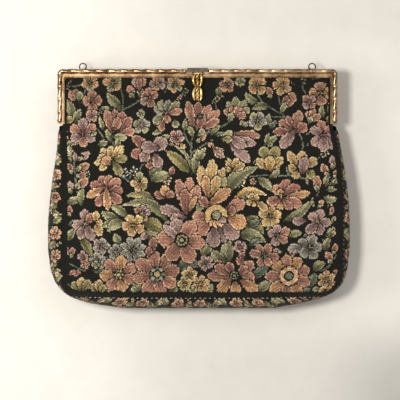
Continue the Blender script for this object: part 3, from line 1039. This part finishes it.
def matched_silhouette(xs, zs):
    """For each seam point, the silhouette point it faces, kept in order."""
    out_x, out_z = silhouette(6000)
    own = np.arctan2(xs, BELLY - zs)
    other = np.arctan2(out_x, BELLY - out_z)
    found = np.searchsorted(other, own).clip(0, len(other) - 1)
    # above the rounded bottom each seam point faces the silhouette at its own height
    level = np.array([
        np.argmin(np.abs(out_z - z) + 1000.0 * (np.sign(out_x) != np.sign(x))) for x, z in zip(xs, zs)
    ])
    share = smooth_step((zs - 30) / 30)
    mixed = np.maximum.accumulate(found * (1 - share) + level * share)
    mixed = smoothed(mixed, 25).round().astype(int).clip(0, len(out_x) - 1)
    return out_x[mixed], out_z[mixed]


def strip_points(columns, inset=0.0):
    """Bulging strip between the two panels' seams, through the silhouette."""
    xs, zs = outline()
    out_x, out_z = matched_silhouette(xs, zs)
    angle = np.linspace(-math.pi / 2, math.pi / 2, columns)
    lift = np.cos(angle) ** 0.75
    x = xs[:, None] + (out_x - xs)[:, None] * lift
    z = zs[:, None] + (out_z - zs)[:, None] * lift
    y = (panel_depth(xs, zs) - inset)[:, None] * np.sin(angle)
    drawn = 1 - inset / np.maximum(np.hypot(x, z - BELLY), 1)
    x = x * drawn
    z = BELLY + (z - BELLY) * drawn
    z = np.where(y < 1.6, np.minimum(z, STRIP_FRONT_TOP), z)
    return np.stack([x, y, z], -1)


def strip_piece():
    """Side strip with its border printed along both halves, laid out by real cloth length."""
    columns = 60
    # one stitch of the border, in millimetres of cloth
    cell = 0.6
    points = strip_points(columns)
    rows = len(points)
    steps = np.linalg.norm(np.diff(points, axis=1), axis=-1)
    run = np.concatenate([np.zeros((rows, 1)), np.cumsum(steps, 1)], 1)
    middle = (run[:, :-1] + run[:, 1:]) / 2
    from_seam = np.minimum(middle, run[:, -1:] - middle)[:-1]
    along = run_length(*points[:, columns // 5].T)[:-1]
    even = np.arange(0, along[-1] + 3, cell)
    out = np.arange(0, 24, cell)
    weave = strip_weave(even, out, 41)
    row = np.clip((from_seam / cell).astype(int), 0, len(out) - 1)
    col = np.clip((along / cell).astype(int), 0, len(even) - 1)[:, None]
    weave.colour = weave.colour[row, col]
    weave.pile = weave.pile[row, col]
    # pale dots along the bottom seam, fainter to the left and up the sides
    seam = points[:-1, 0]
    dots = np.mod(run_length(*seam.T), 3.75) < 1.5
    spot = dots[:, None] & (from_seam > 0.9) & (from_seam < 2.1)
    level = 0.75 * smooth_step((seam[:, 0] + 104) / 6) * (1 - 0.62 * smooth_step((seam[:, 2] - 14) / 14))
    pale = np.array(INK) + (np.array(TONES["lilac"][2]) - np.array(INK)) * level[:, None]
    weave.colour[spot] = np.repeat(pale[:, None], columns - 1, 1)[spot]
    # raise the pile away from the sack's middle
    pile = np.zeros((rows, columns))
    pile[:-1, :-1] = weave.pile
    outward = points - np.array([0.0, 0.0, BELLY])
    outward /= np.linalg.norm(outward, axis=-1, keepdims=True)
    obj = grid_object("side_strip", points + outward * pile[..., None] * 0.8, weave.finish(), flip=True)
    return dress(obj, TAPESTRY)


def lining_piece(name, back):
    """Lining panel a little inside the tapestry."""
    z = np.arange(PANEL_BOTTOM + 1.5, PANEL_TOP - 1.0, 3.0)
    left, right = panel_sides(z)
    share = np.linspace(0, 1, 74)
    x = (left + 1.5)[:, None] + (right - left - 3.0)[:, None] * share[None, :]
    grid_z = np.repeat(z[:, None], len(share), 1)
    ease = 1.5 - 0.5 * smooth_step((grid_z - 138) / 16)
    pucker = 0.3 * np.sin(x * 0.35) * smooth_step((160 - grid_z) / 30)
    depth = panel_depth(x, grid_z) - ease - 0.3 + pucker
    side = 1 if back else -1
    obj = grid_object(name, np.stack([x, side * depth, grid_z], -1), flip=not back)
    return dress(obj, LINING)


def lining_strip():
    """Lining of the side strip, 2.2 mm inside it."""
    obj = grid_object("lining_strip", strip_points(16, 2.2)[::4])
    return dress(obj, LINING)


def slip_pocket_piece():
    """Patch pocket on the back lining with a hemmed, slightly open mouth."""
    x = np.linspace(-45, 45, 46)
    z = np.concatenate([np.linspace(62, 118, 30), [119.0, 120.0, 120.6, 120.6, 120.0]])
    gx, gz = np.meshgrid(x, z)
    gape = 1.6 * smooth_step((gz - 95) / 25) * (1 - (gx / 45) ** 2)
    hem = np.zeros(len(z))
    hem[-5:] = (0.2, 0.5, 0.3, -0.2, -0.4)
    # 2.3 mm inside the back tapestry, on top of the lining
    depth = panel_depth(gx, gz) - 2.3 - gape - hem[:, None]
    obj = grid_object("pocket_cloth", np.stack([gx, depth, gz], -1), flip=True)
    return dress(obj, POCKET)


# ---------------------------------------------------------------- mouldings


def arch_path(half, top, corner, foot, step=0.5):
    """Points and outward normals along an arch in the XZ plane, with the run length."""
    leg = np.arange(foot, top - corner, step)
    turn = np.linspace(0, math.pi / 2, 14)[1:-1]
    rail = np.arange(-half + corner, half - corner, step)
    xs = np.concatenate([
        np.full(len(leg), -half), -half + corner * (1 - np.cos(turn)), rail,
        half - corner + corner * np.sin(turn), np.full(len(leg), half),
    ])
    zs = np.concatenate([
        leg, top - corner + corner * np.sin(turn), np.full(len(rail), top),
        top - corner + corner * np.cos(turn), leg[::-1],
    ])
    tangent = np.stack([np.gradient(xs), np.gradient(zs)], -1)
    tangent /= np.linalg.norm(tangent, axis=1, keepdims=True)
    normal = np.stack([-tangent[:, 1], tangent[:, 0]], -1)
    return xs, zs, normal, run_length(xs, zs)


def rope_piece(name, gaps, side):
    """Two-strand twisted moulding; it tapers out at each gap and at the feet."""
    half = FRAME_HALF - ROPE_RADIUS + 0.15
    top = FRAME_TOP - ROPE_RADIUS + 0.15
    xs, zs, normal, run = arch_path(half, top, 2.6, FOOT)
    around = np.linspace(0, 2 * math.pi, 25)[:-1]
    keep = np.ones(len(xs))
    for centre, reach in gaps:
        keep *= np.where(zs > top - 3, smooth_step((np.abs(xs - centre) - reach) / 0.9), 1)
    keep *= smooth_step(np.minimum(run, run[-1] - run) / 1.5)
    # two lobes that turn once in each lead
    phase = 2 * math.pi * run / ROPE_LEAD
    lobe = np.abs(np.cos(around[None, :] - phase[:, None]))
    radius = ROPE_RADIUS * (0.72 + 0.30 * lobe**0.7) * keep[:, None] + 0.02
    a = radius * np.cos(around)[None, :]
    b = radius * np.sin(around)[None, :]
    x = xs[:, None] + normal[:, 0:1] * a
    z = zs[:, None] + normal[:, 1:2] * a
    y = side * np.maximum(FACE + 0.1 + b * 0.85, FACE - 0.15)
    obj = grid_object(name, np.stack([x, y, z], -1), flip=side > 0, closed=True)
    return dress(obj, ROPE_METAL)


def bead_piece(name, side):
    """Row of fine beads along the inner edge of the frame's face."""
    half = FRAME_HALF - LEG + BEAD_RADIUS
    top = FRAME_TOP - RAIL + BEAD_RADIUS
    xs, zs, _, run = arch_path(half, top, 2.0, FOOT + 0.6)
    places = np.arange(0.5, run[-1], BEAD_PITCH)
    px = np.interp(places, run, xs)
    pz = np.interp(places, run, zs)
    rings = 3
    ball = []
    for i in range(1, rings + 1):
        p = math.pi * i / (rings + 1)
        for j in range(8):
            q = 2 * math.pi * j / 8
            ball.append((math.sin(p) * math.cos(q), math.cos(p), math.sin(p) * math.sin(q)))
    ball = np.array([*ball, (0, 1, 0), (0, -1, 0)]) * BEAD_RADIUS
    faces = tube_faces(rings, 8, False)
    last = (rings - 1) * 8
    for j in range(8):
        k = (j + 1) % 8
        faces.append((len(ball) - 2, k, j))
        faces.append((len(ball) - 1, last + j, last + k))
    parts = [(ball + np.array([x, side * (FACE + 0.05), z]), faces) for x, z in zip(px, pz)]
    verts, all_faces = joined(parts)
    obj = mesh_object(name, verts, all_faces)
    return dress(obj, ROPE_METAL)


# ---------------------------------------------------------------- the drop


def strand(stops, turns, lobes, depth, flat, steps=64, around=30):
    """Closed fluted strand; stops are (height, x, y, radius) from top to bottom."""
    stops = np.array(stops, float)
    t = np.linspace(0, 1, steps)
    marks = np.linspace(0, 1, len(stops))
    line = np.stack([np.interp(t, marks, stops[:, k]) for k in range(4)], 1)
    for k in (1, 2, 3):
        line[:, k] = np.convolve(np.pad(line[:, k], 4, "edge"), np.ones(9) / 9, "valid")
    q = np.linspace(0, 2 * math.pi, around + 1)[:-1]
    wave = np.abs(np.cos(lobes * q[None, :] / 2 + math.pi * turns * t[:, None])) ** 0.7
    r = line[:, 3:4] * (1 - depth * (1 - wave))
    # rounded ends
    ends = np.sqrt(np.clip(np.minimum(t, 1 - t) * 14, 0.02, 1))[:, None]
    r = r * ends
    px = line[:, 1:2] + r * np.cos(q)[None, :]
    py = line[:, 2:3] + flat * r * np.sin(q)[None, :]
    pz = np.repeat(line[:, 0:1], around, 1)
    verts = np.stack([px, py, pz], -1).reshape(-1, 3)
    faces = tube_faces(steps, around, True)
    faces.append(tuple(range(around)))
    faces.append(tuple((steps - 1) * around + j for j in reversed(range(around))))
    return verts, faces


def drop_piece():
    """Hinged drop: two stacked calyxes, each of curved twisted strands over a twisted core."""
    y = -8.2
    near = y - 0.1
    twist = {"turns": 3.2, "lobes": 2, "depth": 0.55, "flat": 0.8}
    crown = {"turns": 0.0, "lobes": 12, "depth": 0.2, "flat": 0.36, "steps": 18, "around": 48}
    core = [
        strand([(186.9, 0, y, 1.5), (182.0, 0, y - 0.5, 1.9), (176.4, 0, y - 0.2, 1.3)], **twist),
        strand([(176.8, 0, y - 0.2, 1.4), (171.0, 0, y - 0.5, 1.8), (165.4, 0, y - 0.2, 1.6)], **twist),
        strand([(187.9, 0, y, 2.0), (187.3, 0, y, 2.8), (186.6, 0, y, 2.4)], **crown),
    ]
    # height, distance to the side, y and radius down the strands of the upper and the lower calyx
    upper = [
        (186.3, 2.4, y, 1.0), (184.4, 3.25, near, 1.4), (181.4, 3.35, near, 1.4), (178.6, 2.6, y, 1.05),
        (176.5, 1.5, y, 0.6),
    ]
    lower = [
        (176.7, 1.5, y, 0.6), (174.4, 2.7, near, 1.2), (171.0, 3.25, near, 1.4), (168.0, 2.9, y, 1.15),
        (165.3, 2.2, y, 0.7),
    ]
    leaves = []
    for side in (-1, 1):
        for stops in (upper, lower):
            stops = [(height, side * out, depth, radius) for height, out, depth, radius in stops]
            leaves.append(strand(stops, turns=side, lobes=1, depth=0.22, flat=1.0))
    verts, faces = joined(core + leaves)
    obj = mesh_object("drop_ornament", verts, faces)
    dress(obj, DROP_METAL)
    obj.data.materials.append(DROP_SHADE)
    shaded = sum(len(f) for _, f in core)
    for face in obj.data.polygons[:shaded]:
        face.material_index = 1
    return obj


# ---------------------------------------------------------------- assembly

front = panel_piece("front_tapestry", 11, False)
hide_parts("front_panel_lower", "front_panel_upper")
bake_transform(front)

back = panel_piece("back_tapestry", 12, True)
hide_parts("back_panel")
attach(back, "bag")

strip = strip_piece()
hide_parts("gusset")
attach(strip, "bag")

lining_front = lining_piece("lining_front_cloth", False)
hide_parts("lining_front_lower", "lining_front_upper")
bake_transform(lining_front)

lining_back = lining_piece("lining_back_cloth", True)
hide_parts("lining_back")
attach(lining_back, "bag")

lining_side = lining_strip()
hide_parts("lining_gusset")
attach(lining_side, "bag")

pocket = slip_pocket_piece()
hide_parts("slip_pocket")
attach(pocket, "bag")

front_rope = rope_piece("front_rope_twist", [(0, CLASP_HALF)], -1)
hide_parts("front_rope")
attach(front_rope, "front_frame")
rear_rope = rope_piece("rear_rope_twist", [(-LUG_X, LUG_GAP), (LUG_X, LUG_GAP)], 1)
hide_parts("rear_rope")
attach(rear_rope, "bag")

front_beads = bead_piece("front_bead_row", -1)
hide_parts("front_bead")
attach(front_beads, "front_frame")
rear_beads = bead_piece("rear_bead_row", 1)
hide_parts("rear_bead")
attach(rear_beads, "bag")

drop = drop_piece()
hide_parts("clasp_drop")
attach(drop, "clasp_drop")

NODE_METALS = {
    FRAME_METAL: ("front_frame", "rear_frame"),
    ROPE_METAL: ("left_rivet", "right_rivet"),
    DROP_METAL: ("clasp_pin",),
    ENAMEL: ("clasp_plate",),
    STEEL: ("snap_tongue", "catch_spring", "catch_stud"),
    CHAIN_METAL: ("chain_links", "left_end_link", "right_end_link"),
    RING_METAL: ("left_ring", "right_ring", "left_lug", "right_lug"),
    CORD: ("rear_packing_cord", "front_packing_cord"),
    BOARD: ("base_board",),
}
for made, names in NODE_METALS.items():
    for name in names:
        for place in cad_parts[name].material_slots:
            place.material = made

# ---------------------------------------------------------------- stage, light and camera

WALL_Y = 25.4
WALL_CORNERS = [(-900, WALL_Y, -700), (900, WALL_Y, -700), (900, WALL_Y, 1100), (-900, WALL_Y, 1100)]
wall = dress(mesh_object("backdrop", WALL_CORNERS, [(0, 1, 2, 3)], False), wall_material())
wall.visible_shadow = False


def area_light(name, place, target, size, energy, colour):
    data = bpy.data.lights.new(name, "AREA")
    data.size = size
    data.energy = energy
    data.color = colour
    lamp = bpy.data.objects.new(name, data)
    lamp.location = place
    aim = Vector(target) - Vector(place)
    lamp.rotation_euler = aim.to_track_quat("-Z", "Y").to_euler()
    bpy.context.scene.collection.objects.link(lamp)
    return lamp


MIDDLE = (0.0, 0.0, 0.09)
area_light("key", (-0.34, -1.14, 0.16), MIDDLE, 0.20, 9.4, (1.0, 0.965, 0.90))
wash = area_light("wash", (-0.62, -0.42, 0.09), (-0.16, 0.02, 0.09), 0.40, 2.2, (1.0, 0.985, 0.95))
wash.visible_glossy = False
area_light("fill", (0.5, -1.1, 0.8), MIDDLE, 0.9, 3.4, (1.0, 0.97, 0.94))
area_light("rear", (0.3, 1.0, 0.7), MIDDLE, 0.8, 13.0, (1.0, 0.97, 0.94))

world = bpy.data.worlds.new("room")
world.use_nodes = True
background = world.node_tree.nodes["Background"]
background.inputs["Color"].default_value = (1.0, 0.965, 0.91, 1)
background.inputs["Strength"].default_value = 0.42
bpy.context.scene.world = world

SENSOR = 36.0
CAMERA_PLACE = (0.002, -2.2, 0.0864)
# Width of the camera's view at the bag's middle plane, in metres
FIELD = 0.32
camera_data = bpy.data.cameras.new("camera")
camera_data.sensor_width = SENSOR
camera_data.lens = SENSOR * -CAMERA_PLACE[1] / FIELD
camera = bpy.data.objects.new("camera", camera_data)
camera.location = CAMERA_PLACE
camera.rotation_euler = (math.pi / 2, 0, 0)
bpy.context.scene.collection.objects.link(camera)
bpy.context.scene.camera = camera
bpy.context.scene.view_settings.view_transform = "Standard"
